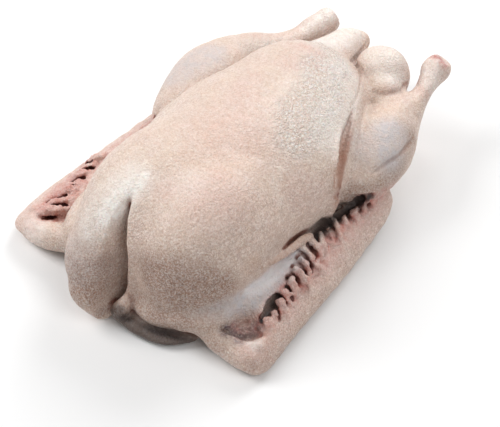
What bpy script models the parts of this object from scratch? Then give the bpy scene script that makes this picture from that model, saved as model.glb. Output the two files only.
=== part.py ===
"""A plucked, oven-ready whole duck lying on its back, as one solid.

Frame: metres, +Z up, +Y towards the tail, -Y towards the neck. The origin is the middle of the
footprint, on the surface that the bird lies on. The sizes below are in millimetres.

The bird is laid up the way a sculptor would: round masses for the torso, breast and thighs, tapered
limbs for the shanks and the folded wings, a row of small folds where the quills were pulled. The masses
overlap and are fused into one skin. The keel cleft, the slots in the folded wings and the hollow ends of
the legs are cut into it, and the underside is cut flat.
"""
import bmesh
import bpy
from mathutils import Matrix, Vector

MM = 0.001

# Driving dimensions
VOXEL = 2.6              # how finely the masses are fused
TORSO_SMOOTHING = 70     # passes that turn the torso's masses into one swelling form
LIMB_SMOOTHING = 8       # passes that melt the limbs into it
CLEFT_SMOOTHING = 4      # passes that round the lips of the cuts
TRIANGLE_SHARE = 0.085   # what Decimate keeps of the fused skin
REST_CUT = 0.0           # height of the flat that the back rests on
ORIGIN = Vector((-4, 2, 0))   # the middle of the footprint, in the coordinates below

FAR, NEAR = -1, 1        # the two sides of the bird, along X

# Round masses: centre, then half sizes along X, Y and Z
TORSO = [
    ((0, -10, 60), (84, 118, 56)),      # rib cage and belly
    ((-8, 66, 60), (62, 64, 50)),       # rear of the belly
    ((0, -48, 66), (62, 88, 55)),       # breast bone
    ((0, -15, 34), (82, 132, 36)),      # back, under the bird
    ((6, 112, 48), (54, 36, 30)),       # pelvis
]
BREAST = [
    ((-27, -88, 61), (45, 70, 55)),     # upper part of each breast muscle
    ((36, -86, 61), (49, 68, 57)),
    ((-27, -106, 42), (42, 72, 40)),    # middle of each
    ((36, -92, 42), (46, 65, 40)),
    ((-17, -114, 25), (33, 69, 23)),    # where it turns under
    ((29, -100, 20), (43, 62, 22)),
]
VENT_FAT = [((28, 139, 64), (26, 23, 26)), ((42, 122, 60), (19, 21, 20))]
NECK_FLAP = [((34, -141, 6), (31, 25, 8)), ((17, -152, 7), (19, 17, 8)), ((2, -160, 9), (9, 7, 8))]
HOCKS = [((62, 170, 67), (13, 15, 14)), ((-58, 177, 55), (13, 12, 13))]
TAIL_KNOB = ((-19, 174, 54), (10, 8, 10))
FOOT_CUTS = [((78, 200, 110), 45), ((-44, 222, 62), 41.5)]   # the balls that hollow the ends of the legs

# Limbs: points along each one as (X, Y, Z, radius)
BREAST_EDGE = [(-24, -168, 26, 13), (-14, -165, 21, 13), (-7, -162, 15, 12), (-4, -158, 10, 10)]
NEAR_LEG = [(75, 36, 43, 21), (69, 74, 47, 31), (65, 108, 53, 20.5), (67, 127, 57, 11.5),
            (67, 142, 61, 8), (65, 154, 64.5, 8), (63, 165, 67, 10)]
FAR_LEG = [(-87, 14, 38, 28), (-93, 56, 44, 32), (-86, 98, 45, 24), (-76, 124, 45, 14.5),
           (-67, 148, 48, 10), (-61, 168, 53, 12)]
TAIL = [(-18, 100, 62, 27), (-22, 134, 56, 20), (-24, 158, 54, 15), (-24, 170, 52, 11)]
THIGH_LIP = [(56, 48, 86, 5), (64, 27, 84, 7), (70, 15, 79, 8), (75, 6, 71, 8), (78, 0, 58, 8),
             (77, -3, 43, 6)]
NECK_NUB = [(9, -160, 30, 4), (6, -161, 21, 5.5), (2, -161, 11, 7)]

# A wing, for the near side: the far one is its mirror image, spread and splayed a little
FOREARM = [(110, -129, 14, 16), (103, -95, 19, 20), (98, -35, 20, 20), (93, 30, 21, 18), (91, 54, 22, 13)]
UPPER_ARM = [(52, -142, 28, 13), (72, -122, 28, 14), (80, -90, 28, 13), (80, -50, 27, 12),
             (81, -10, 26, 10), (86, 40, 18, 10)]
SHOULDER = [(62, -134, 22, 10), (75, -134, 18, 10)]
WRIST = [(88, -134, 15, 10), (110, -133, 12, 10)]
WING_FLOOR = [(90, -118, 13, 24), (88, -90, 12, 26), (87, -50, 10, 24), (88, 0, 8, 20)]
WING_FLOOR_FLATNESS = 0.35               # the skin that closes the crook of the wing
FOREARM_FLATNESS = 0.45                  # its thickness as a share of its width
FOREARM_LEAN = {FAR: 0.25, NEAR: 0.83}   # how far its broad face leans out, as X for each Z
SPREAD = {FAR: (5, -8, 0.04), NEAR: (-1, 0, 0)}   # how far out and forward a wing lies, and its splay
WRIST_LINE = -130                        # the Y that the splay turns about
WING_GAP = [(98, -104, 30, 4.5), (94, -78, 31, 4), (88, -42, 36, 3.5), (85, -8, 40, 5), (89, 21, 42, 5),
            (94, 35, 40, 4)]             # the slot between the two halves of the folded wing

# The row of folds along the inner edge of each forearm
QUILLS = {FAR: 6, NEAR: 9}
QUILL_START = {FAR: Vector((100, -122, 28)), NEAR: Vector((105, -110, 29))}
QUILL_END = {FAR: Vector((107, -62, 29)), NEAR: Vector((92, -4, 38))}
QUILL_RADII = (9, 3.6, 4.5)

# The keel cleft: a thin blade along the front of the breast
CLEFT = [(1, -184, -8, 24), (0, -180, 28, 28), (-5, -168, 56, 25), (-9, -153, 78, 16), (-11, -143, 89, 8)]
CLEFT_WIDTH = 0.2                        # its width as a share of its depth


def clear_scene():
    for item in list(bpy.data.objects):
        bpy.data.objects.remove(item, do_unlink=True)


def collection(name):
    group = bpy.data.collections.new(name)
    bpy.context.scene.collection.children.link(group)
    return group


def skin_material():
    material = bpy.data.materials.new("duck_skin")
    material.use_nodes = True
    shader = material.node_tree.nodes["Principled BSDF"]
    shader.inputs["Base Color"].default_value = (0.60, 0.44, 0.36, 1.0)
    shader.inputs["Roughness"].default_value = 0.45
    shader.inputs["Metallic"].default_value = 0.0
    return material


def mass(shape, centre, radii):
    """Add an ellipsoid to shape."""
    place = Matrix.Translation(Vector(centre) * MM) @ Matrix.Diagonal((*(Vector(radii) * MM), 1.0))
    bmesh.ops.create_uvsphere(shape, u_segments=32, v_segments=20, radius=1.0, matrix=place)


def squeeze(direction, share):
    """The matrix that flattens things along direction, to share of their thickness."""
    return Matrix.Scale(share, 4, direction.normalized())


def tube(points):
    """A bevelled curve through points, as a closed mesh."""
    curve = bpy.data.curves.new("limb", "CURVE")
    curve.dimensions = "3D"
    curve.use_fill_caps = True
    curve.bevel_depth = MM
    curve.bevel_resolution = 6
    curve.resolution_u = 8
    spline = curve.splines.new("BEZIER")
    spline.bezier_points.add(len(points) - 1)
    for knot, (x, y, z, radius) in zip(spline.bezier_points, points):
        knot.co = Vector((x, y, z)) * MM
        knot.radius = radius
        knot.handle_left_type = knot.handle_right_type = "AUTO"
    carrier = bpy.data.objects.new("limb", curve)
    bpy.context.scene.collection.objects.link(carrier)
    evaluated = carrier.evaluated_get(bpy.context.evaluated_depsgraph_get())
    mesh = bpy.data.meshes.new_from_object(evaluated)
    bpy.data.objects.remove(carrier, do_unlink=True)
    bpy.data.curves.remove(curve)
    return mesh


def limb(shape, points, flatten=None):
    """Add a tapered limb with round ends to shape, flattened by the matrix flatten."""
    flatten = flatten or Matrix.Identity(4)
    stretched = [(*(flatten.inverted() @ Vector(point[:3])), point[3]) for point in points]
    piece = bmesh.new()
    mesh = tube(stretched)
    piece.from_mesh(mesh)
    bpy.data.meshes.remove(mesh)
    bmesh.ops.remove_doubles(piece, verts=piece.verts, dist=0.00001)
    for x, y, z, radius in (stretched[0], stretched[-1]):
        mass(piece, (x, y, z), (radius, radius, radius))
    bmesh.ops.transform(piece, matrix=flatten, verts=piece.verts)
    mesh = bpy.data.meshes.new("limb")
    piece.to_mesh(mesh)
    piece.free()
    shape.from_mesh(mesh)
    bpy.data.meshes.remove(mesh)


def mirrored(points, side):
    return [(side * point[0], *point[1:]) for point in points]


def spread_wing(points, side):
    """Mirror points to their side, and move them out with that wing."""
    out, forward, splay = SPREAD[side]
    return [(side * (x + out + splay * (y - WRIST_LINE)), y + forward, z, radius)
            for x, y, z, radius in points]


def wing(shape, side):
    """Add a folded wing, with its row of quill folds, to shape."""
    face = Vector((side * FOREARM_LEAN[side], 0, 1))
    limb(shape, spread_wing(FOREARM, side), squeeze(face, FOREARM_FLATNESS))
    limb(shape, mirrored(UPPER_ARM, side))
    limb(shape, mirrored(SHOULDER, side) + spread_wing(WRIST, side))
    limb(shape, mirrored(WING_FLOOR, side), squeeze(Vector((0, 0, 1)), WING_FLOOR_FLATNESS))
    for step in range(QUILLS[side]):
        x, y, z = QUILL_START[side].lerp(QUILL_END[side], step / (QUILLS[side] - 1))
        mass(shape, (side * x, y, z), QUILL_RADII)


def new_object(name, shape, group):
    mesh = bpy.data.meshes.new(name)
    shape.to_mesh(mesh)
    shape.free()
    item = bpy.data.objects.new(name, mesh)
    item.location = -ORIGIN * MM
    group.objects.link(item)
    return item


def hollow_cutter(group):
    """The keel cleft, the slots in the folded wings and the ends of the legs, as one cutter."""
    shape = bmesh.new()
    limb(shape, CLEFT, squeeze(Vector((1, 0, 0)), CLEFT_WIDTH))
    for side in (FAR, NEAR):
        limb(shape, spread_wing(WING_GAP, side))
    for centre, radius in FOOT_CUTS:
        mass(shape, centre, (radius, radius, radius))
    cutter = new_object("hollow_cutter", shape, group)
    remesh = cutter.modifiers.new("one_blade", "REMESH")
    remesh.mode = "VOXEL"
    remesh.voxel_size = VOXEL * MM / 2
    return cutter


def ground_cutter(group):
    size, depth = 600, 80
    shape = bmesh.new()
    place = Matrix.Translation(Vector((0, 0, REST_CUT - depth / 2)) * MM)
    bmesh.ops.create_cube(shape, size=MM, matrix=place @ Matrix.Diagonal((size, size, depth, 1)))
    return new_object("ground_cutter", shape, group)


def fuse(item, name, smoothing):
    """Turn overlapping pieces into one skin, and soften the seams between them."""
    remesh = item.modifiers.new(name, "REMESH")
    remesh.mode = "VOXEL"
    remesh.voxel_size = VOXEL * MM
    smooth = item.modifiers.new(name + "_smooth", "SMOOTH")
    smooth.factor = 0.5
    smooth.iterations = smoothing


def torso(group):
    """The trunk and breast without the limbs, as a finished mesh."""
    shape = bmesh.new()
    for centre, radii in TORSO + BREAST:
        mass(shape, centre, radii)
    item = new_object("torso", shape, group)
    fuse(item, "trunk", TORSO_SMOOTHING)
    mesh = bpy.data.meshes.new_from_object(item.evaluated_get(bpy.context.evaluated_depsgraph_get()))
    bpy.data.objects.remove(item, do_unlink=True)
    return mesh


def cut(item, cutter):
    boolean = item.modifiers.new(cutter.name, "BOOLEAN")
    boolean.operation = "DIFFERENCE"
    boolean.solver = "EXACT"
    boolean.object = cutter


def duck(parts, cutters):
    trunk = torso(parts)
    shape = bmesh.new()
    shape.from_mesh(trunk)
    bpy.data.meshes.remove(trunk)
    for centre, radii in (*VENT_FAT, *NECK_FLAP, *HOCKS, TAIL_KNOB):
        mass(shape, centre, radii)
    for points in (BREAST_EDGE, NEAR_LEG, FAR_LEG, TAIL, THIGH_LIP, NECK_NUB):
        limb(shape, points)
    for side in (FAR, NEAR):
        wing(shape, side)
    item = new_object("duck", shape, parts)
    item.data.materials.append(skin_material())
    fuse(item, "one_skin", LIMB_SMOOTHING)
    cut(item, hollow_cutter(cutters))
    fuse(item, "round_lips", CLEFT_SMOOTHING)
    decimate = item.modifiers.new("facets", "DECIMATE")
    decimate.ratio = TRIANGLE_SHARE
    cut(item, ground_cutter(cutters))
    return item


def main():
    clear_scene()
    parts = collection("whole_duck")
    cutters = collection("cutters")
    duck(parts, cutters)
    for cutter in cutters.objects:
        cutter.hide_render = True
        cutter.display_type = "WIRE"


main()
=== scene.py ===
# %% [markdown]
# # A plucked whole duck, on its back
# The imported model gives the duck's true size and place as one plain solid. This lesson models the real
# skin over it: swelling breast and thighs, a deep cleft at the keel, folded wings with the torn folds that
# the quills leave, and moist, mottled skin. We load the model first and note its box, because the finished
# bird has to stay inside it.

# %% Load the frame
import math

import bpy
import numpy as np
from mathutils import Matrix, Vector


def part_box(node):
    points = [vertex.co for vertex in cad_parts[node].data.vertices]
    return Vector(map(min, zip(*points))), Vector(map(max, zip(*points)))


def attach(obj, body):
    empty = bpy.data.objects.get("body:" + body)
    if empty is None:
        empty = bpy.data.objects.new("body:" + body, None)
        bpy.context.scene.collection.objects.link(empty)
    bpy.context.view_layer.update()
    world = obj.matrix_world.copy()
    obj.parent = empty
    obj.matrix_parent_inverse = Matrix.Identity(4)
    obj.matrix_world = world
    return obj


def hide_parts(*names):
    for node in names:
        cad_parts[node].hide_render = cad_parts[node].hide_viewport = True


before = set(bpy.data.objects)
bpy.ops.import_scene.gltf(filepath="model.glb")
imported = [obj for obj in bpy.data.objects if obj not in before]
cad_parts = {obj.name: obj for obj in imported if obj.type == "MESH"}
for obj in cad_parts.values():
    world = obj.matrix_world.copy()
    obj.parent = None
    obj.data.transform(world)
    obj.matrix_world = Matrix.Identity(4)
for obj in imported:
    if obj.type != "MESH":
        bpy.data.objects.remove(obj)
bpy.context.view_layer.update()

import openvdb as vdb
from mathutils import Euler, Vector

f32 = np.float32                # the kind of number that each cell of the clay holds
MM = 0.001
ORIGIN = Vector((-4, 2, 0))     # where the model's origin lies in the millimetre coordinates used here
low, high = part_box("duck")
print("packed duck, mm:", [round(1000 * side) for side in high - low])

# %% [markdown]
# ## Clay that knows its distance
# A plucked bird has no edges: every muscle swells out of its neighbour under one skin. Subdivision cages
# are slow to bend into that, and Booleans leave hard seams. So we model as a sculptor does, in clay. The
# clay is a grid of cells, and each cell holds its distance to the surface, negative inside. Two shapes
# melt together when we take the smaller distance and round the place where both are equal; carving is the
# same with the signs turned. OpenVDB then draws the skin where the distance is zero.

# %% Clay
VOXEL = 1.5                     # millimetres between the cells
FAR_AWAY = 40.0                 # the distance that untouched cells hold
EVERYWHERE = (slice(None),) * 3


class Clay:
    def __init__(self, lowest, highest, voxel):
        self.lowest = np.array(lowest, float)
        self.voxel = voxel
        count = np.ceil((np.array(highest) - self.lowest) / voxel).astype(int) + 1
        self.distance = np.full(tuple(count), FAR_AWAY, f32)

    def window(self, lowest, highest):
        """The cells between two corners, as slices and as their coordinates."""
        first = np.clip(np.floor((lowest - self.lowest) / self.voxel), 0, self.distance.shape).astype(int)
        last = np.clip(np.ceil((highest - self.lowest) / self.voxel) + 1, 0, self.distance.shape).astype(int)
        cells = tuple(slice(a, b) for a, b in zip(first, last))
        axes = [f32(start) + f32(self.voxel) * np.arange(a, b, dtype=f32)
                for start, a, b in zip(self.lowest, first, last)]
        return cells, (axes[0][:, None, None], axes[1][None, :, None], axes[2][None, None, :])

    def merge(self, cells, other, blend, carve):
        """Melt other in, or carve it out, and round the seam over blend millimetres."""
        mine = self.distance[cells]
        sign = -1.0 if carve else 1.0
        other = sign * other
        overlap = np.maximum(blend - np.abs(mine - other), 0) / blend
        round_off = overlap ** 3 * blend / 6
        result = np.maximum(mine, other) + round_off if carve else np.minimum(mine, other) - round_off
        self.distance[cells] = result

    def ball(self, centre, radii, blend, turn=(0, 0, 0), carve=False):
        """An ellipsoid, turned by angles in degrees."""
        centre, radii = np.array(centre, float), np.array(radii, float)
        reach = radii.max() + blend + 2 * self.voxel
        cells, grid = self.window(centre - reach, centre + reach)
        axes = np.array(Euler([math.radians(angle) for angle in turn]).to_matrix())
        offset = [grid[i] - f32(centre[i]) for i in range(3)]
        own = [sum(f32(axes[j, i]) * offset[j] for j in range(3)) for i in range(3)]
        near = np.sqrt(sum((own[i] / f32(radii[i])) ** 2 for i in range(3)))
        steep = np.sqrt(sum((own[i] / f32(radii[i] ** 2)) ** 2 for i in range(3))) + 1e-9
        self.merge(cells, near * (near - 1) / steep, blend, carve)

    def cone_field(self, start, end, blend, flat=None):
        """Cells and distances of a round-ended cone between two (x, y, z, radius) points."""
        a, b, ra, rb = np.array(start[:3]), np.array(end[:3]), start[3], end[3]
        reach = max(ra, rb) + blend + 2 * self.voxel
        cells, grid = self.window(np.minimum(a, b) - reach, np.maximum(a, b) + reach)
        p = [grid[i] - f32(a[i]) for i in range(3)]
        along, scale = b - a, 1.0
        if flat:
            face, share = np.array(flat[0], float) / np.linalg.norm(flat[0]), flat[1]
            height = sum(f32(face[i]) * p[i] for i in range(3))
            p = [p[i] + height * f32((1 / share - 1) * face[i]) for i in range(3)]
            along = along + face * (along @ face) * (1 / share - 1)
            scale = share ** 0.5
        length2, taper = along @ along, ra - rb
        slope2 = length2 - taper * taper
        y = sum(p[i] * f32(along[i]) for i in range(3))
        z = y - f32(length2)
        x2 = np.maximum(sum(c * c for c in p) * f32(length2) - y * y, 0) * f32(length2)
        y2, z2 = y * y * f32(length2), z * z * f32(length2)
        edge = np.sign(taper) * taper * taper * x2
        side = (np.sqrt(x2 * f32(slope2 / length2)) + y * f32(taper)) / f32(length2) - ra
        at_start = np.sqrt(x2 + y2) / f32(length2) - ra
        at_end = np.sqrt(x2 + z2) / f32(length2) - rb
        distance = np.where(np.sign(y) * f32(slope2) * y2 < edge, at_start, side)
        distance = np.where(np.sign(z) * f32(slope2) * z2 > edge, at_end, distance)
        return cells, (distance * f32(scale)).astype(f32)

    def limb(self, points, blend, flat=None, carve=False):
        """A smooth chain of cones through (x, y, z, radius) points."""
        path = smooth_path(points)
        for start, end in zip(path, path[1:]):
            self.merge(*self.cone_field(start, end, blend, flat), blend, carve)

    def groove(self, points, blend, settled=False):
        """A groove in one even stroke. Settled, it follows the surface, as deep as its radius."""
        path = smooth_path(points, steps=8)
        if settled:
            path = self.settle(path)
        whole = np.full(self.distance.shape, FAR_AWAY, f32)
        for start, end in zip(path, path[1:]):
            cells, distance = self.cone_field(start, end, blend)
            whole[cells] = np.minimum(whole[cells], distance)
        self.merge(EVERYWHERE, whole, blend, True)

    def solid(self, mesh, blend, carve=False):
        """A closed mesh, in millimetres."""
        band = 5
        count = len(mesh.vertices)
        points = np.zeros(count * 3, f32)
        mesh.vertices.foreach_get("co", points)
        mesh.calc_loop_triangles()
        corners = np.zeros(len(mesh.loop_triangles) * 3, np.int32)
        mesh.loop_triangles.foreach_get("vertices", corners)
        cells = (points.reshape(-1, 3) - self.lowest) / self.voxel
        grid = vdb.FloatGrid.createLevelSetFromPolygons(
            cells.astype(f32), triangles=corners.reshape(-1, 3).astype(np.uint32),
            transform=vdb.createLinearTransform(1.0), halfWidth=band)
        distance = np.full(self.distance.shape, float(band), f32)
        grid.copyToArray(distance, ijk=(0, 0, 0))
        self.merge(EVERYWHERE, distance * f32(self.voxel), blend, carve)

    def stand_on(self, level, blend):
        """Press the clay flat where it would pass below level."""
        height = (self.lowest[2] + self.voxel * np.arange(self.distance.shape[2])).astype(f32)
        below = np.broadcast_to(f32(level) - height, self.distance.shape)
        self.merge(EVERYWHERE, -below, blend, True)

    def sample(self, points):
        """The distance at points in millimetres, read from the nearest eight cells."""
        at = (points - self.lowest) / self.voxel
        at = np.clip(at, 0, np.array(self.distance.shape) - 1.001)
        cell = at.astype(int)
        share = at - cell
        total = np.zeros(len(points))
        for corner in np.ndindex(2, 2, 2):
            weight = np.prod(np.where(corner, share, 1 - share), axis=1)
            total += weight * self.distance[tuple((cell + corner).T)]
        return total

    def settle(self, points):
        """Slide (x, y, z, radius) points onto the surface."""
        points = np.array(points, float)
        places = points[:, :3]
        for _ in range(6):
            slope = np.array([self.sample(places + axis) - self.sample(places - axis)
                              for axis in np.eye(3)]).T / 2
            steep = np.maximum((slope ** 2).sum(1), 0.1)
            places -= slope * (self.sample(places) / steep)[:, None]
        return [tuple(point) for point in points]

    def skin(self, name):
        """The surface as a mesh in metres, in the model's frame."""
        grid = vdb.FloatGrid(FAR_AWAY)
        grid.copyFromArray(self.distance)
        points, _, quads = grid.convertToPolygons(0.0, 0.0)
        points = (points * self.voxel + self.lowest - np.array(ORIGIN)) * MM
        mesh = bpy.data.meshes.new(name)
        mesh.from_pydata(points.astype(f32), [], quads.astype(np.int32))
        mesh.validate()
        mesh.shade_smooth()
        return mesh


def smooth_path(points, steps=4):
    """Catmull-Rom points through the given ones, radius included."""
    knots = [np.array(point, float) for point in points]
    knots = [2 * knots[0] - knots[1], *knots, 2 * knots[-1] - knots[-2]]
    path = []
    for a, b, c, d in zip(knots, knots[1:], knots[2:], knots[3:]):
        for step in range(steps):
            t = step / steps
            path.append(0.5 * (2 * b + (c - a) * t + (2 * a - 5 * b + 4 * c - d) * t ** 2
                               + (3 * b - a - 3 * c + d) * t ** 3))
    path.append(knots[-2])
    return path


clay = Clay((-150, -195, -6), (150, 215, 140), VOXEL)
print("clay cells:", clay.distance.shape)

# %% [markdown]
# ## Trunk and breast
# The rib cage, the belly and the two breast muscles make nearly the whole bird. Each is a ball, melted
# into the rest over about two centimetres. The front stands almost upright, because the bird rests on its
# back and the neck is gone, so each breast muscle is stacked from an upper, a middle and a lower ball.

# %% Trunk
FAR, NEAR = -1, 1               # the two sides along X; the near one faces the camera
TRUNK = [
    ((2, -10, 60), (80, 118, 56)),      # rib cage and belly
    ((-8, 66, 60), (58, 60, 48)),       # rear of the belly
    ((0, -60, 66), (56, 84, 54)),       # breast bone
    ((0, -15, 34), (74, 130, 36)),      # back, underneath
    ((4, 108, 46), (50, 34, 28)),       # pelvis
]
BREAST = [
    ((-27, -88, 61), (42, 68, 53)),     # upper part of each breast muscle
    ((36, -86, 62), (47, 66, 55)),
    ((-27, -107, 42), (39, 70, 38)),    # middle of each
    ((36, -92, 40), (43, 62, 38)),
    ((-16, -114, 25), (29, 67, 21)),    # where it turns under
    ((28, -100, 20), (40, 60, 20)),
]
# low, beside the cleft
BREAST_EDGE = [(-24, -168, 26, 12), (-14, -165, 21, 12), (-7, -162, 15, 11), (-4, -158, 10, 9)]
for centre, radii in TRUNK:
    clay.ball(centre, radii, blend=20)
for centre, radii in BREAST:
    clay.ball(centre, radii, blend=18)
clay.limb(BREAST_EDGE, blend=10)
print("highest trunk cell below zero, mm:",
      clay.lowest[2] + clay.voxel * np.nonzero((clay.distance < 0).any((0, 1)))[0].max())

# %% [markdown]
# ## The cleft at the keel
# Between the breast muscles the skin is drawn down to the breast bone: a groove that starts on top and
# gets narrow and deep down the front. A thin, flattened limb carves it, with a wide blend, so that its
# lips stay round.

# %% Cleft
CLEFT = [(1, -184, -8, 24), (0, -180, 28, 28), (-5, -168, 56, 24), (-9, -153, 78, 14), (-11, -143, 89, 5)]
CLEFT_THINNESS = ((1, 0, 0), 0.14)
clay.limb(CLEFT, blend=12, flat=CLEFT_THINNESS, carve=True)

# %% [markdown]
# ## Legs, tail and the fat beside the vent
# A leg is one chain from thigh to hock: thick in the middle, thin at the shank, with a knob where the foot
# was cut off, which a ball hollows a little. The tail is short and blunt, and beside it a round lump of fat
# swells from the vent.

# %% Legs and tail
NEAR_LEG = [(75, 36, 43, 19), (69, 74, 47, 29), (65, 108, 53, 18.5), (67, 127, 57, 9.5), (67, 142, 61, 5.5),
            (65, 154, 64.5, 6), (63, 165, 67, 8.5)]
FAR_LEG = [(-87, 14, 38, 26), (-93, 56, 44, 30), (-86, 98, 45, 22), (-76, 124, 45, 12.5),
           (-67, 148, 48, 8), (-61, 168, 53, 10.5)]
HOCKS = [((62, 170, 67), (12, 14, 13), (0, 0, -10)), ((-58, 177, 55), (12, 11, 12), (0, 0, 20))]
FOOT_CUTS = [((78, 200, 110), (45.5, 45.5, 45.5)), ((-44, 222, 62), (42, 42, 42))]   # what hollows the knobs
TAIL = [(-18, 100, 62, 26), (-22, 134, 56, 19), (-24, 158, 54, 14), (-24, 170, 52, 10)]
TAIL_KNOB = ((-19, 174, 54), (9, 7, 9))
TAIL_CUT = ((-3, 178, 60), (6, 9, 9))
VENT_FAT = [((28, 139, 64), (25, 22, 25)), ((42, 122, 60), (18, 20, 19))]
clay.limb(NEAR_LEG, blend=7)
clay.limb(FAR_LEG, blend=8)
for centre, radii, turn in HOCKS:
    clay.ball(centre, radii, blend=5, turn=turn)
for centre, radii in FOOT_CUTS:
    clay.ball(centre, radii, blend=1.5, carve=True)
clay.limb(TAIL, blend=8)
clay.ball(*TAIL_KNOB, blend=5)
clay.ball(*TAIL_CUT, blend=4, carve=True)
for centre, radii in VENT_FAT:
    clay.ball(centre, radii, blend=8)

# %% [markdown]
# ## Folded wings
# Each wing is folded flat along the flank: the upper arm runs back from the shoulder, the forearm comes
# forward again beside it, and a web of skin joins them at the front. The forearm is broad and flat, and its
# face leans outwards. The same numbers build both sides, and the far wing is spread a little further.

# %% Wings
FOREARM = [(110, -129, 14, 16), (103, -95, 19, 20), (98, -35, 20, 20), (93, 30, 21, 18), (91, 54, 22, 13)]
LEAN = {FAR: 0.25, NEAR: 0.83}  # how far the forearm's face leans out on each side, as X for each Z
FOREARM_THICKNESS = 0.45
UPPER_ARM = [(52, -142, 28, 13), (72, -122, 28, 14), (80, -90, 28, 13), (80, -50, 27, 12), (81, -10, 26, 9),
             (86, 40, 18, 9)]
WING_FRONT = [(62, -134, 22, 9), (88, -134, 15, 10), (110, -133, 12, 10)]
WING_FLOOR = [(90, -118, 13, 24), (88, -90, 12, 26), (87, -50, 10, 24), (88, 0, 8, 20)]
SPREAD = {FAR: (5, -8, 0.04), NEAR: (-1, 0, 0)}        # how far each wing moves along X and Y, and its splay
WRIST_LINE = -130               # the Y that the splay turns about
UNDER_THIGH = [(90, 8, 44, 3), (94, 18, 44, 4), (99, 30, 42, 5), (104, 44, 38, 5), (108, 58, 34, 4)]


def on_side(points, side):
    return [(side * point[0], *point[1:]) for point in points]


def spread_wing(points, side):
    """Mirror points to their side, and move them out with that wing."""
    out, forward, splay = SPREAD[side]
    return [(side * (x + out + splay * (y - WRIST_LINE)), y + forward, *rest) for x, y, *rest in points]


for side in (FAR, NEAR):
    clay.limb(on_side(WING_FLOOR, side), blend=8, flat=((0, 0, 1), 0.3))
    clay.limb(on_side(UPPER_ARM, side), blend=5)
    clay.limb(on_side(WING_FRONT[:1], side) + spread_wing(WING_FRONT[1:], side), blend=8)
    clay.limb(spread_wing(FOREARM, side), blend=3, flat=((side * LEAN[side], 0, 1), FOREARM_THICKNESS))
    clay.limb(on_side(UNDER_THIGH, side), blend=3, carve=True)

# %% [markdown]
# ## Short words for node trees
# The folds, the relief and the colours are all made with nodes, and adding and linking them one by one
# takes many lines. A small class does both: each value is a number or another node's output.

# %% Node tools
SOCKET_KINDS = {float: "Float", int: "Int", tuple: "Vector"}


class Tree:
    """Adds nodes to a node tree and links them, in short."""

    def __init__(self, tree):
        self.tree = tree

    def put(self, socket, value):
        if isinstance(value, bpy.types.NodeSocket):
            self.tree.links.new(value, socket)
        else:
            socket.default_value = value

    def add(self, kind, *values, output=0, settings=None, **inputs):
        """Add a node, fill its sockets by place or by name, and give back one of its outputs."""
        node = self.tree.nodes.new(kind)
        for name, value in (settings or {}).items():
            setattr(node, name, value)
        for place, value in enumerate(values):
            self.put(node.inputs[place], value)
        for name, value in inputs.items():
            self.put(node.inputs[name.replace("_", " ")], value)
        return node.outputs[output]

    def math(self, operation, first, second=0.0, clamp=False):
        return self.add("ShaderNodeMath", first, second, settings={"operation": operation, "use_clamp": clamp})

    def times(self, first, second, clamp=False):
        return self.math("MULTIPLY", first, second, clamp)

    def vector(self, operation, *values, **inputs):
        return self.add("ShaderNodeVectorMath", *values, settings={"operation": operation}, **inputs)

    def fit(self, value, low, high, to_low=0.0, to_high=1.0):
        """Turn low..high into to_low..to_high, with soft ends."""
        return self.add("ShaderNodeMapRange", settings={"interpolation_type": "SMOOTHSTEP"}, Value=value,
                        From_Min=low, From_Max=high, To_Min=to_low, To_Max=to_high)

    def mix(self, factor, first, second, blend="MIX"):
        node = self.tree.nodes.new("ShaderNodeMix")
        node.data_type, node.blend_type = "RGBA", blend
        for place, value in ((0, factor), (6, first), (7, second)):
            self.put(node.inputs[place], value)
        return node.outputs[2]

    def group(self, group, output, **inputs):
        return self.add("ShaderNodeGroup", output=output, settings={"node_tree": group}, **inputs)


def new_group(kind, name, inputs, outputs):
    """A node group. Each input is named with its value, or with its kind where it has no value."""
    group = bpy.data.node_groups.new(name, kind)
    for label, value in inputs.items():
        plain = isinstance(value, str)
        kind_of_socket = "NodeSocket" + (value if plain else SOCKET_KINDS[type(value)])
        socket = group.interface.new_socket(name=label, in_out="INPUT", socket_type=kind_of_socket)
        if not plain:
            socket.default_value = value
    for label, socket_kind in outputs.items():
        group.interface.new_socket(name=label, in_out="OUTPUT", socket_type="NodeSocket" + socket_kind)
    return Tree(group), group.nodes.new("NodeGroupInput").outputs, group.nodes.new("NodeGroupOutput").inputs


# %% [markdown]
# ## Folds where the quills were
# Pulling the flight feathers leaves a comb of soft folds along the inner edge of the forearm, with a dark
# groove between each two. They repeat along a line, so Geometry Nodes make them. The tree walks along a
# curve, puts one small bent tongue at each step, turns it to the wing's face, and varies it with a fixed
# seed. The same tree makes the grooves and pits: its tongues are then carved out of the clay instead of
# melted in.

# %% A Geometry Nodes tree for a row of tongues
TONGUE_STEPS, TONGUE_SIDES = 10, 10
TEAR_SCALE = 0.18               # of the noise that makes the tongues ragged, for each millimetre


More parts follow.
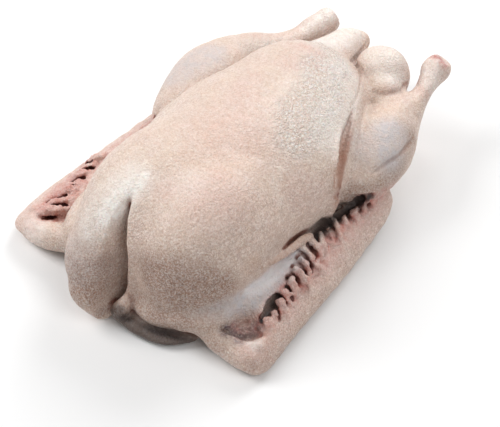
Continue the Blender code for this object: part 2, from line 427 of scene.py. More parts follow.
def row_of_tongues():
    tree, given, out = new_group("GeometryNodeTree", "row_of_tongues", {
        "Edge": "Geometry", "Count": 12, "Root": (8.0, 0.0, 0.0), "Bend": (0.0, 0.0, 3.0),
        "Tip": (-8.0, 0.0, 0.0), "Thickness": 3.0, "Raggedness": 2.0, "Face": (0.0, 0.0, 1.0),
        "Unevenness": 0.3, "Seed": 1, "Material": "Material"}, {"Tongues": "Geometry"})
    steps = tree.add("GeometryNodeCurveToPoints", Curve=given["Edge"], Count=given["Count"])

    swell = tree.add("ShaderNodeFloatCurve", Value=tree.add("GeometryNodeSplineParameter"))
    profile = swell.node.mapping.curves[0].points
    profile[0].location = (0.0, 0.35)
    profile.new(0.35, 0.95)
    profile.new(0.7, 0.75)
    profile[-1].location = (1.0, 0.9)
    swell.node.mapping.update()
    radius = tree.times(swell, given["Thickness"])
    spine = tree.add("GeometryNodeCurveQuadraticBezier", Resolution=TONGUE_STEPS, Start=given["Root"],
                     Middle=given["Bend"], End=given["Tip"])
    sized = tree.add("GeometryNodeSetCurveRadius", Curve=spine, Radius=radius)
    ring = tree.add("GeometryNodeCurvePrimitiveCircle", Resolution=TONGUE_SIDES, Radius=1.0)
    tongue = tree.add("GeometryNodeCurveToMesh", Curve=sized, Profile_Curve=ring, Scale=radius, Fill_Caps=True)

    upright = tree.add("FunctionNodeAlignRotationToVector", settings={"axis": "Z"}, Vector=given["Face"])
    turned = tree.add("FunctionNodeAlignRotationToVector", settings={"axis": "Y", "pivot_axis": "Z"},
                      Rotation=upright, Vector=steps.node.outputs["Tangent"])
    uneven, seed, as_vector = given["Unevenness"], given["Seed"], {"data_type": "FLOAT_VECTOR"}
    size = tree.add("FunctionNodeRandomValue", settings=as_vector, Seed=seed,
                    Min=tree.math("SUBTRACT", 1.0, uneven), Max=tree.math("ADD", 1.0, uneven))
    tilt = tree.add("FunctionNodeRandomValue", settings=as_vector, Seed=tree.math("ADD", seed, 7.0),
                    Min=tree.times(uneven, -1.0), Max=uneven)
    placed = tree.add("GeometryNodeInstanceOnPoints", Points=steps, Instance=tongue, Rotation=turned,
                      Scale=size)
    tilted = tree.add("GeometryNodeRotateInstances", Instances=placed, Rotation=tilt)

    real = tree.add("GeometryNodeRealizeInstances", Geometry=tilted)
    noise = tree.add("ShaderNodeTexNoise", output="Color", Scale=TEAR_SCALE)
    torn = tree.vector("SCALE", tree.vector("SUBTRACT", noise, (0.5, 0.5, 0.5)), Scale=given["Raggedness"])
    moved = tree.add("GeometryNodeSetPosition", Geometry=real, Offset=torn)
    tree.put(out["Tongues"], tree.add("GeometryNodeSetMaterial", Geometry=moved, Material=given["Material"]))
    return tree.tree


def set_input(modifier, name, value):
    """Give a Geometry Nodes modifier's input by name."""
    for item in modifier.node_group.interface.items_tree:
        if item.name == name and getattr(item, "in_out", "") == "INPUT":
            modifier[item.identifier] = value


def add_object(name, data):
    """A new object, linked into the scene."""
    item = bpy.data.objects.new(name, data)
    bpy.context.scene.collection.objects.link(item)
    return item


def evaluated_mesh(item):
    return bpy.data.meshes.new_from_object(item.evaluated_get(bpy.context.evaluated_depsgraph_get()))


TONGUES = row_of_tongues()


def tongues_along(points, **settings):
    """Run the tree along a curve through points and give back its mesh."""
    curve = bpy.data.curves.new("edge", "CURVE")
    curve.dimensions = "3D"
    path = smooth_path([(*point, 0) for point in points])
    spline = curve.splines.new("POLY")
    spline.points.add(len(path) - 1)
    for knot, place in zip(spline.points, path):
        knot.co = (*place[:3], 1)
    carrier = add_object("edge", curve)
    modifier = carrier.modifiers.new("tongues", "NODES")
    modifier.node_group = TONGUES
    for name, value in settings.items():
        set_input(modifier, name.replace("_", " "), value)
    mesh = evaluated_mesh(carrier)
    bpy.data.objects.remove(carrier, do_unlink=True)
    return mesh


# %% Hollows and rims on both wings, and folds on the near one
EDGE_INWARD = [(-110, 2), (-94, 0), (-79, 2), (-63, 6), (-50, 9), (-34, 10), (-18, 9), (-4, 8)]
ELBOW_INWARD = [(7, 3), (18, 1), (30, 0), (42, -1)]
ROOT_OUT = 18                   # how far out each fold starts from the edge
FOLD_RISE = 5.0                 # how high it rises above the wing's face
FOLDS = 12
FOLD_THICKNESS = 3.5
SLANT = 0.33                    # how far the folds lean forwards on their way out
EDGE_DEPTH = 1.5                # how far the row of folds is sunk into the forearm's face
GROOVE_SHIFT = 4.8              # the grooves lie half a step further back than the folds


def face_line(inward_at, side, shift=0.0):
    """Points on the forearm's face at (y, inward) places, inward being measured from its axis."""
    axis = np.array(FOREARM, float)
    line = []
    for y, inward in inward_at:
        x, z, radius = (np.interp(y + shift, axis[:, 1], axis[:, column]) for column in (0, 2, 3))
        thickness = FOREARM_THICKNESS * radius * math.hypot(LEAN[side], 1)
        line.append((x - inward, y + shift, z + thickness + LEAN[side] * inward - EDGE_DEPTH))
    return spread_wing(line, side)


GAP_BOTTOM = [(85, -24, 42, 3), (83, -10, 38, 4), (82, 2, 35, 4.5), (83, 18, 32, 4.5), (88, 32, 37, 3)]
GAP = [(101, -108, 27, 2.5), (98, -95, 28, 5), (96, -82, 28, 4), (92, -64, 30, 2), (88, -42, 33, 1),
       (87, -24, 36, 1.5), (86, -8, 41, 3.5), (86, 8, 42, 4.5), (89, 21, 43, 4.5), (94, 35, 41, 3)]
GAP_START = {NEAR: 0, FAR: 6}   # on the far wing the ridges close the front part of the gap
HOLLOW = ((99, -121, 33), (13, 12, 13))                 # in the crook of the elbow
HOLLOW_PITS = [[(86, -134, 27, 2), (90, -130, 25, 3.5), (95, -127, 23, 4), (99, -122, 22, 3.5),
                (101, -116, 22, 2.5)],
               [(98, -131, 22, 2), (102, -126, 21, 3), (105, -119, 22, 2.5)]]
CARTILAGE = [((111, -126, 21), (5, 5, 5)), ((106, -131, 21), (3, 4, 4)), ((104, -113, 22), (4, 5, 4))]
for side in (FAR, NEAR):
    for shape, depth, carve in ((HOLLOW, 8, True), *((bit, 3, False) for bit in CARTILAGE)):
        clay.ball(spread_wing([shape[0]], side)[0], shape[1], blend=depth, carve=carve)
    clay.limb(spread_wing(GAP[GAP_START[side]:], side), blend=3, carve=True)
    clay.limb(spread_wing(GAP_BOTTOM, side), blend=4, carve=True)
    face = (side * LEAN[side], 0.0, 1.0)
    rims = tongues_along(face_line(ELBOW_INWARD, side), Count=4, Root=(side * 5.0, -3.0, -2.0),
                         Bend=(0.0, 0.0, 2.5), Tip=(-side * 5.0, 1.0, 0.0), Thickness=3.0, Raggedness=2.0,
                         Face=face, Unevenness=0.3, Seed=12 + side)
    clay.solid(rims, blend=3)
    pits = tongues_along(face_line(ELBOW_INWARD, side, -5.5), Count=4, Root=(side * 3.0, -2.0, 2.5),
                         Bend=(0.0, 0.0, 0.0), Tip=(-side * 4.0, 1.0, -2.0), Thickness=2.2, Raggedness=1.5,
                         Face=face, Unevenness=0.3, Seed=16 + side)
    clay.solid(pits, blend=2, carve=True)
    print("wing", side, "elbow rims:", len(rims.polygons), "faces; pits:", len(pits.polygons), "faces")

for pit in HOLLOW_PITS:
    clay.groove(spread_wing(pit, NEAR), blend=2)
near_face = (LEAN[NEAR], 0.0, 1.0)
folds = tongues_along(face_line(EDGE_INWARD, NEAR), Count=FOLDS, Root=(ROOT_OUT, -ROOT_OUT * SLANT, -4.0),
                      Bend=(7.0, 2.0 - 7.0 * SLANT, FOLD_RISE), Tip=(-3.0, 4.0 * SLANT, 1.0),
                      Thickness=FOLD_THICKNESS, Raggedness=5.5, Face=near_face, Unevenness=0.3, Seed=4)
clay.solid(folds, blend=3)
grooves = tongues_along(face_line(EDGE_INWARD[:-1], NEAR, GROOVE_SHIFT), Count=FOLDS - 1,
                        Root=(ROOT_OUT - 4.0, (4.0 - ROOT_OUT) * SLANT, 3.0),
                        Bend=(5.0, 1.0 - 5.0 * SLANT, 0.0), Tip=(-5.0, 5.0 * SLANT, -1.5),
                        Thickness=0.6 * FOLD_THICKNESS, Raggedness=4.0, Face=near_face, Unevenness=0.35, Seed=9)
clay.solid(grooves, blend=2, carve=True)
print("near wing folds:", len(folds.polygons), "faces; grooves:", len(grooves.polygons), "faces")

# %% [markdown]
# The far wing is torn differently: its folds lie side by side as long ridges that run from its edge to the
# breast, with a valley between each two. We melt in the ridges first and then draw the valleys.

# %% Ridges along the far wing
RIDGES = 7
RIDGE_OUTER = [(-116, -76, 26), (-112, -139, 22)]       # where the first and the last ridge start
RIDGE_INNER = [(-112, -56, 28), (-95, -120, 24)]        # and where they end, beside the breast
RIDGE_RISE, RIDGE_RADIUS, VALLEY_RADIUS = 3.0, 3.4, 1.6


def ridge_path(share, rise, radius):
    """A path from the outer to the inner end of the ridge that lies at share of the row."""
    outer, inner = (np.array(a) * (1 - share) + np.array(b) * share for a, b in (RIDGE_OUTER, RIDGE_INNER))
    middle = (outer + inner) / 2 + (0, 0, rise)
    return [(*outer, 0.6 * radius), (*middle, radius), (*inner, 0.9 * radius)]


ragged = np.random.default_rng(5)
for share in np.linspace(0, 1, RIDGES):
    wander = ragged.uniform(-0.3, 0.3) / RIDGES
    clay.limb(ridge_path(share + wander, RIDGE_RISE, RIDGE_RADIUS * ragged.uniform(0.8, 1.15)), blend=1.5)
for share in np.linspace(0, 1, RIDGES)[:-1] + 0.5 / (RIDGES - 1):
    clay.groove(ridge_path(share, RIDGE_RISE, VALLEY_RADIUS * ragged.uniform(0.7, 1.2)), blend=2.5)

# %% [markdown]
# ## Edges, slits and creases of the skin
# The skin is a sheet over the meat. At the flank its edge lies over the thigh, with a dark slit beneath;
# over the wing it ends in a rolled edge. Each rolled edge is a thin limb melted in, and each slit or crease
# is a groove. Those that are settled follow the surface, so they are as deep as their radius.

# %% Creases
THIGH_SLIT = [(50, 70, 89, 2.5), (59, 50, 89, 3.5), (68, 31, 87, 4.5), (75, 19, 81, 5), (81, 10, 73, 4),
              (84, 4, 63, 2), (83, 8, 50, 1.2), (80, 4, 40, 1.5)]
SLIT_EDGE = [(49, 69, 86, 1), (54, 58, 86, 2), (61, 41, 84, 2.6), (67, 26, 81, 2.8), (74, 13, 80, 3.2),
             (80, 5, 75, 3.4), (83, 1, 67, 3), (84, -1, 58, 2)]
WING_SLIT = [(83, -84, 60, 0.8), (84, -75, 56.5, 1.2), (85, -68, 54.5, 1.5), (86, -59, 53, 1.8),
             (86, -48, 52.5, 2), (85, -36, 51, 2.6), (84, -24, 47, 3.4), (84, -12, 42, 4)]
CREASES_CUT = [                 # each with how far its lips are rounded
    ([(91, 96, 63, 1.2), (93, 91, 61, 2.2), (93, 81, 61, 2.4), (93, 70, 60, 2.4), (92, 59, 61, 2.2),
      (92, 48, 61, 1.8), (90, 40, 60, 1.2)], 2),
    ([(-9, 167, 58, 1.5), (-6, 152, 58, 3.2), (-4, 145, 59, 3.6), (5, 132, 68, 3.4), (12, 124, 73, 3),
      (20, 115, 76, 2.4), (30, 104, 80, 1.8), (42, 86, 85, 1.2), (50, 66, 90, 1)], 1.5),
    ([(42, 107, 74, 0.8), (48, 110, 73, 1.4), (53, 116, 72, 1.6), (56, 125, 70, 1)], 4),
    ([(-30, 82, 104, 0.5), (-6, 87, 105, 1), (8, 92, 103, 0.5)], 5),
    ([(54, 140, 67, 1.5), (54, 133, 69, 2), (55, 127, 69, 1)], 2),
]
LIPS = [                        # the skin's edge over the thigh, and the rolled edge over the wing
    ([(56, 48, 86, 3), (64, 27, 84, 5.5), (70, 15, 79, 6.5), (75, 6, 71, 7), (78, 1, 63, 7),
      (78, 0, 52, 6), (77, -3, 43, 5)], 5),
    ([(83, -92, 57, 1.2), (84, -77, 53.5, 2), (84, -65, 50.5, 2.6), (84, -52, 48.5, 3), (84, -40, 46.5, 3),
      (84, -30, 43, 2)], 2),
]
for points, blend in LIPS:
    clay.limb(points, blend=blend)
clay.groove(THIGH_SLIT, blend=3)
clay.groove(SLIT_EDGE, blend=1, settled=True)
clay.groove(WING_SLIT, blend=1.5)
for points, blend in CREASES_CUT:
    clay.groove(points, blend, settled=True)

# %% [markdown]
# ## Neck skin, and the flat underneath
# A flap of neck skin is tucked under the front, with a small nub at the foot of the cleft. The back is
# pressed flat where the bird lies on it.

# %% Neck skin and rest
NECK_FLAP = [((34, -141, 6), (30, 24, 6), (0, 0, 24)), ((17, -152, 7), (18, 16, 6), (0, 0, 0)),
             ((2, -160, 9), (8, 6, 6), (0, 0, 20))]
NUB = [(9, -160, 30, 2), (6, -161, 21, 4), (2, -161, 11, 6)]
REST_ROUNDING = 5
for centre, radii, turn in NECK_FLAP:
    clay.ball(centre, radii, blend=5, turn=turn)
clay.limb(NUB, blend=5)
clay.stand_on(0, blend=REST_ROUNDING)
skin = clay.skin("duck_skin")
print("skin:", len(skin.vertices), "points,", len(skin.polygons), "faces")

# %% [markdown]
# ## Painting the masks
# Raw skin is never one colour. Fat shows cream, blood shows pink where a bone or a quill was, and muscle
# shows blue-grey where the skin is thin. Where the colour sits is part of this bird, so we paint it on the
# points of the mesh: each mask is a set of brush strokes, a stroke being a path with a soft radius. Some
# masks paint light and shade too: painted shade in the gaps, pits and creases and under the breast, brown
# with painted shade low on the bird, painted highlights and lighter patches where the skin is lit, and
# sinew painted lighter where the breast shades it. Three more masks aren't painted but measured. The clay
# still knows its distances, so a point a few millimetres above the skin that reads less than those
# millimetres looks into a crevice or a hollow, and both deepen the painted shade. Where the skin is steep
# its grain is painted stronger and mostly darker, as painted shade on the steep sides.

# %% Masks
def soft_step(value):
    value = np.clip(value, 0, 1)
    return value * value * (3 - 2 * value)


def brush(places, points):
    """How strongly a stroke through (x, y, z, radius) points paints each place, from 0 to 1."""
    strength = np.zeros(len(places))
    for x, y, z, radius in (smooth_path(points) if len(points) > 1 else points):
        distance = np.linalg.norm(places - (x, y, z), axis=1)
        strength = np.maximum(strength, soft_step(1.4 * (1 - distance / radius)))
    return strength


STROKES = {                     # for each mask, how strong each stroke is and the points it runs through
    "blush": [
        (0.5, [(60, 176, 70, 24), (63, 160, 68, 15)]), (0.45, [(57, 156, 66, 20), (66, 140, 60, 18)]),
        (0.35, [(-56, 176, 58, 24), (-66, 146, 58, 16)]), (0.3, [(-84, 110, 66, 14), (-66, 148, 60, 10)]),
        (0.5, [(58, 126, 74, 8), (52, 114, 77, 8)]), (0.35, [(47, 140, 72, 20)]),
        (0.5, [(-19, 85, 106, 14), (1, 86, 106, 15)]), (0.4, [(-8, 60, 110, 20), (10, 80, 106, 20)]),
        (0.45, [(-4, -10, 119, 22), (-18, 20, 112, 16)]),
        (0.75, [(8, -127, 93, 5), (3, -133, 86, 7), (-3, -137, 76, 5)]), (0.4, [(13, -112, 109, 14)]),
        (0.5, [(45, -96, 108, 40)]), (0.4, [(10, -40, 120, 50)]), (0.35, [(74, -30, 84, 26), (80, 0, 60, 16)]),
    ],
    # brown patches, and painted shade darkening the breast's lower front, the low thighs and the wings' lower
    # edges
    "earth": [
        (1.0, [(32, -154, 64, 32), (54, -146, 62, 42), (72, -132, 58, 32)]),
        (0.8, [(30, -160, 36, 28), (50, -150, 34, 30)]),
        (1.0, [(-52, -158, 34, 30), (-22, -174, 40, 36), (-8, -166, 50, 26)]),
        (0.9, [(-4, -174, 14, 12), (6, -168, 16, 9)]), (0.6, [(-26, -168, 64, 30)]),
        (0.7, [(104, 66, 52, 20), (99, 40, 44, 18), (86, 22, 46, 18)]), (0.6, [(96, 90, 66, 20)]),
        (0.5, [(52, -142, 24, 22), (84, -142, 22, 20)]),
        (0.35, [(118, -140, 6, 24), (122, -110, 6, 20), (118, -50, 6, 18)]),
        (0.35, [(96, -96, 66, 26), (90, -70, 66, 20)]),
    ],
    "muscle": [
        (0.9, [(84, 74, 76, 26), (92, 62, 68, 24)]), (0.5, [(78, 50, 78, 26)]),
        (0.8, [(60, -136, 34, 14), (76, -122, 36, 17)]),
        (1.0, [(84, -112, 38, 16), (88, -86, 38, 15), (88, -52, 38, 13)]), (1.0, [(87, -38, 37, 8)]),
        (0.7, [(-104, 30, 66, 26), (-92, 56, 76, 24)]), (0.35, [(-30, -160, 50, 30)]),
    ],
    "fat": [
        (0.9, [(-9, 172, 57, 13)]), (0.9, [(-4, 156, 60, 7), (0, 148, 64, 5)]),
        (0.4, [(82, -98, 68, 14)]), (0.5, [(108, -116, 26, 14)]),
        (0.35, [(70, 90, 84, 22), (54, 110, 84, 16)]), (0.25, [(20, -60, 118, 50)]),
    ],
    "crumple": [
        (1.0, [(46, -4, 104, 28), (38, 22, 108, 36), (30, 52, 106, 32), (10, 74, 108, 26)]),
        (0.7, [(-20, 110, 90, 24), (20, 90, 100, 20)]), (0.6, [(-78, 90, 72, 16), (-66, 124, 62, 12)]),
    ],
    "raw": [(1.0, [(-116, -66, 28, 13), (-109, -96, 28, 18), (-104, -126, 24, 20)]),
            (0.5, [(-104, -148, 22, 16)])],
    # white sinew on the near upper arm, painted lighter still as painted light where the breast shades it
    "sinew": [(0.8, [(82, -104, 42, 7), (86, -88, 42, 9), (87, -66, 42, 9), (87, -50, 41, 8)])],
    "cut": [(1.0, [(59, 173, 78, 8), (67, 171, 76, 8)]), (0.6, [(-56, 184, 56, 10)]),
            (0.5, [(-108, -96, 28, 18), (-103, -126, 24, 20)])],
    # painted shade: dark in the near wing's gaps, the elbow pits, the tail crease, beside the nub and on the
    # neck flap under the breast
    "shade": [
        *((1.0, spread_wing([(x, y, z - 2, radius + wider) for x, y, z, radius in points], NEAR))
          for points, wider in ((GAP[:3], 3), (GAP[5:], 3), (GAP_BOTTOM, 6))),
        (0.4, [(-8, 164, 58, 3), (-5, 150, 58, 5), (4, 134, 67, 5), (12, 124, 73, 4)]),
        (0.9, [(89, -131, 25, 5), (95, -127, 22, 6), (100, -120, 21, 5)]),
        (0.8, [(3, -168, 13, 10), (8, -166, 22, 7)]),
        (1.0, [(10, -168, 9, 16), (24, -166, 6, 18), (42, -158, 5, 20), (62, -150, 3, 15)]),
    ],
    # brown membrane in the slits and on the wing's rolled edge, and painted shade as darker brown along the
    # thigh and tail creases and below the thigh slit
    "slit": [
        (1.0, [(55, 62, 87, 4), (64, 46, 86, 6), (71, 29, 83, 8), (77, 17, 77, 8), (83, 8, 68, 6)]),
        (1.0, [(50, 67, 86, 2), (57, 51, 85, 4), (64, 34, 82, 5), (71, 19, 80, 5.5), (79, 6, 77, 5),
               (84, -1, 64, 5)]),
        (0.5, [(-8, 164, 58, 3), (-5, 150, 58, 5), (4, 134, 67, 6), (12, 124, 73, 5)]),
        (0.4, [(93, 91, 61, 3), (93, 76, 60, 4), (92, 59, 61, 3)]),
        (0.35, [(84, -82, 55, 3), (85, -70, 52, 5), (86, -58, 50, 6), (86, -46, 48, 6.5), (86, -34, 46, 7)]),
        (0.5, [(86, 2, 58, 10), (84, 4, 48, 10)]),
    ],
    "mottle": [(1.0, [(85, -134, 27, 8), (92, -126, 23, 11), (100, -116, 24, 9)]), (0.7, [(98, -133, 24, 8)])],
    # painted highlights along the far breast's ridge and on top, painted light on the rear, tail, knobs and far
    # leg, and white cartilage on the wings
    "pale": [
        (0.9, [(-10, -108, 110, 5), (-13, -118, 105, 12), (-17, -131, 96, 17), (-22, -145, 85, 13)]),
        (0.5, [(-16, -116, 106, 22), (-22, -138, 90, 26), (-30, -152, 76, 18)]), (0.2, [(24, -98, 111, 22)]),
        (0.5, [(60, 20, 98, 24), (48, 60, 98, 28), (26, 92, 98, 30)]),
        (0.5, [(62, 160, 78, 16), (70, 150, 70, 12)]),
        (0.65, [(-22, 130, 78, 24), (-24, 165, 62, 20)]), (0.5, [(26, 140, 86, 28), (44, 130, 76, 20)]),
        (0.5, [(107, -127, 24, 10)]), (0.7, [(-62, 104, 74, 20), (-58, 150, 66, 18), (-56, 172, 66, 16)]),
        (0.55, [(-102, -150, 22, 18)]),
    ],
}
MIRRORED_STROKES = {
    "blush": [(0.75, [(x + 4, y, z + 8, 24) for x, y, z, radius in FOREARM])],
    "raw": [(1.0, [(x + 1, y, z + 13, 15) for x, y, z, radius in FOREARM[1:]] + [(92, 46, 34, 12)]),
            (0.9, [(94, -124, 26, 12), (103, -112, 26, 14)])],
    "fat": [(0.5, [(112, -124, 21, 9)])],
}


def write_mask(name, values):
    skin.attributes.new(name, "FLOAT", "POINT").data.foreach_set("value", values.astype(f32))


count = len(skin.vertices)
places, facing = np.zeros(3 * count, f32), np.zeros(3 * count, f32)
skin.vertices.foreach_get("co", places)
skin.vertex_normals.foreach_get("vector", facing)
places = places.reshape(-1, 3) / MM + np.array(ORIGIN)
facing = facing.reshape(-1, 3)
for name in sorted({*STROKES, *MIRRORED_STROKES}):
    mask = np.zeros(count)
    for strength, points in STROKES.get(name, []):
        mask = np.maximum(mask, strength * brush(places, points))
    for strength, points in MIRRORED_STROKES.get(name, []):
        for side in (FAR, NEAR):
            mask = np.maximum(mask, strength * brush(places, spread_wing(points, side)))
    write_mask(name, mask)
    print("mask", name, "covers", round(100 * float((mask > 0.1).mean())), "% of the points")
for name, reach in (("crevice", 3.0), ("hollow", 10.0)):
    write_mask(name, np.clip(1 - clay.sample(places + reach * facing) / reach, 0, 1))
# the steep sides get stronger, mostly darker grain as painted shade; this much of it is laid where the skin
# faces straight up
FLATTEST_GRIT = 0.25            # how much grain is left where the skin faces straight up
write_mask("grit", soft_step(1 + FLATTEST_GRIT - facing[:, 2]))

# %% [markdown]
# ## Relief
# Under the skin lie lobes of fat, at the rear the skin is wrinkled and wet, and the torn folds are ragged.
# These are larger than pores, so they have to be real shape: Geometry Nodes push each point along its
# normal by three noises, the last two only where their masks allow it. The clay's cells also give flat
# stretches more triangles than they need, so a Decimate modifier thins the result to the limit.

# %% A Geometry Nodes tree for the relief
def skin_relief():
    tree, given, out = new_group("GeometryNodeTree", "skin_relief", {
        "Skin": "Geometry", "Lump Size": 0.02, "Lump Height": 0.001, "Wrinkle Size": 0.006,
        "Wrinkle Height": 0.001, "Torn Size": 0.005, "Torn Height": 0.001, "Material": "Material"},
        {"Relief": "Geometry"})
    place, normal = tree.add("GeometryNodeInputPosition"), tree.add("GeometryNodeInputNormal")
    total = None
    for name, mask, squash in (("Lump", None, 1.0), ("Wrinkle", "crumple", 0.45), ("Torn", "raw", 1.0)):
        noise = tree.add("ShaderNodeTexNoise", Vector=tree.vector("MULTIPLY", place, (1.0, squash, 1.0)),
                         Scale=tree.math("DIVIDE", 1.0, given[name + " Size"]), Detail=2.0, Distortion=0.6)
        wave = tree.times(tree.math("SUBTRACT", noise, 0.5), given[name + " Height"])
        if mask:
            painted = tree.add("GeometryNodeInputNamedAttribute", settings={"data_type": "FLOAT"}, Name=mask)
            wave = tree.times(wave, painted)
        total = wave if total is None else tree.math("ADD", total, wave)
    moved = tree.add("GeometryNodeSetPosition", Geometry=given["Skin"],
                     Offset=tree.vector("SCALE", normal, Scale=total))
    real = tree.add("GeometryNodeRealizeInstances", Geometry=moved)
    tree.put(out["Relief"], tree.add("GeometryNodeSetMaterial", Geometry=real, Material=given["Material"]))
    return tree.tree


# %% [markdown]
# ## Skin material
# One Principled BSDF makes all of the skin, because the real skin is one sheet. The colour is built as the
# bird's is: cream fat below, a pink and a yellowish cloud over it, then the painted masks, each broken up
# by noise so that no brush edge shows, and at last the pores; over these lie painted shade and painted
# highlights. Three node groups hold the effects: clouds for slow colour change, pores for the plucked
# skin's grain, and creases for the fine lines.

# %% Clouds, pores and creases
def make_clouds():
    """Slow patches of an uneven size, 0 to 1."""
    tree, given, out = new_group("ShaderNodeTree", "clouds",
                                 {"Vector": "Vector", "Size": 0.03, "Sharpness": 0.2}, {"Patches": "Float"})
    fine = tree.add("ShaderNodeTexNoise", Vector=given["Vector"], Scale=tree.math("DIVIDE", 1.0, given["Size"]),
                    Detail=5.0, Roughness=0.6, Distortion=0.4)
    tree.put(out["Patches"], tree.fit(fine, tree.math("SUBTRACT", 0.5, given["Sharpness"]),
                                      tree.math("ADD", 0.5, given["Sharpness"])))
    return tree.tree


def make_pores():
    """The grain of plucked skin: small domes with a pit in each, and finer grit between them."""
    tree, given, out = new_group("ShaderNodeTree", "pores", {"Vector": "Vector", "Size": 0.0025},
                                 {"Height": "Float", "Pit": "Float"})
    scale = tree.math("DIVIDE", 1.0, given["Size"])
    wander = tree.add("ShaderNodeTexNoise", output="Color", Vector=given["Vector"],
                      Scale=tree.times(scale, 0.5))
    shaken = tree.vector("MULTIPLY_ADD", wander, (0.002, 0.002, 0.002), given["Vector"])
    cells = tree.add("ShaderNodeTexVoronoi", Vector=shaken, Scale=scale, Randomness=1.0)
    grit = tree.add("ShaderNodeTexNoise", Vector=given["Vector"], Scale=tree.times(scale, 1.9),
                    Detail=3.0)
    dome = tree.fit(cells, 0.1, 0.7, 1.0, 0.0)
    pit = tree.fit(cells, 0.06, 0.2, 1.0, 0.0)
    height = tree.math("ADD", tree.times(dome, 0.5), tree.times(grit, 0.9))
    tree.put(out["Height"], tree.math("SUBTRACT", height, tree.times(pit, 0.25)))
    tree.put(out["Pit"], tree.times(pit, tree.fit(grit, 0.4, 0.6)))
    return tree.tree


def make_creases():
    """Fine lines that run across the bird and wander."""
    tree, given, out = new_group("ShaderNodeTree", "creases",
                                 {"Vector": "Vector", "Size": 0.006, "Length": 0.3}, {"Height": "Float"})
    squash = tree.add("ShaderNodeCombineXYZ", X=1.0, Y=given["Length"], Z=1.0)
    lines = tree.add("ShaderNodeTexNoise", Vector=tree.vector("MULTIPLY", given["Vector"], squash),
                     Scale=tree.math("DIVIDE", 1.0, given["Size"]), Detail=4.0, Distortion=1.2)
    ridge = tree.math("ABSOLUTE", tree.math("SUBTRACT", lines, 0.5))
    tree.put(out["Height"], tree.fit(ridge, 0.0, 0.09))
    return tree.tree


CLOUDS, PORES, CREASES = make_clouds(), make_pores(), make_creases()

# %% Skin colours
def rgb(red, green, blue):
    """A colour as seen on a screen, 0 to 255, as the linear values that Blender's sockets take."""
    return (*(((part / 255 + 0.055) / 1.055) ** 2.4 for part in (red, green, blue)), 1.0)


CREAM = rgb(234, 217, 206)
PINK = rgb(226, 196, 187)
STRAW = rgb(234, 214, 190)
# brown of the patches, and of the painted shade low on the bird
BROWN_SHADE_TINT = rgb(94, 58, 36)
MUSCLE = rgb(202, 195, 196)
BLUSH = rgb(222, 180, 174)
RAW = rgb(202, 128, 114)
# the deep red of torn flesh, darkest in the deepest crevices as partly painted shade
BLOOD = rgb(108, 52, 46)
FAT = rgb(232, 182, 146)
# brown of the membrane, and of the painted shade in creases
MEMBRANE_AND_SHADE = rgb(160, 112, 90)
CUT = rgb(188, 112, 104)
# white of the sinew, raised as painted light
SINEW_AND_LIGHT = rgb(240, 234, 234)
PORE = rgb(158, 118, 98)
FLECK = rgb(200, 162, 138)
# the colour of painted shade
SHADE = rgb(50, 35, 30)
BRUISE = rgb(96, 68, 58)
STEEL = rgb(128, 118, 126)
# pale specks, painted highlights and glints, and lighter patches of painted light
PALE_AND_HIGHLIGHT = rgb(252, 247, 241)
DUST = rgb(212, 180, 156)
# painted shade that darkens every crevice
CREVICE_SHADE = rgb(168, 124, 112)
BUMP_REACH = 0.0009             # how high the grain stands, in metres
# size in metres and sharpness of the six clouds, from the widest to the finest
PATCHES = [(0.045, 0.22), (0.016, 0.2), (0.006, 0.16), (0.0024, 0.14), (0.0013, 0.12), (0.0009, 0.1)]
MASKS = sorted({*STROKES, "crevice", "hollow", "grit"})


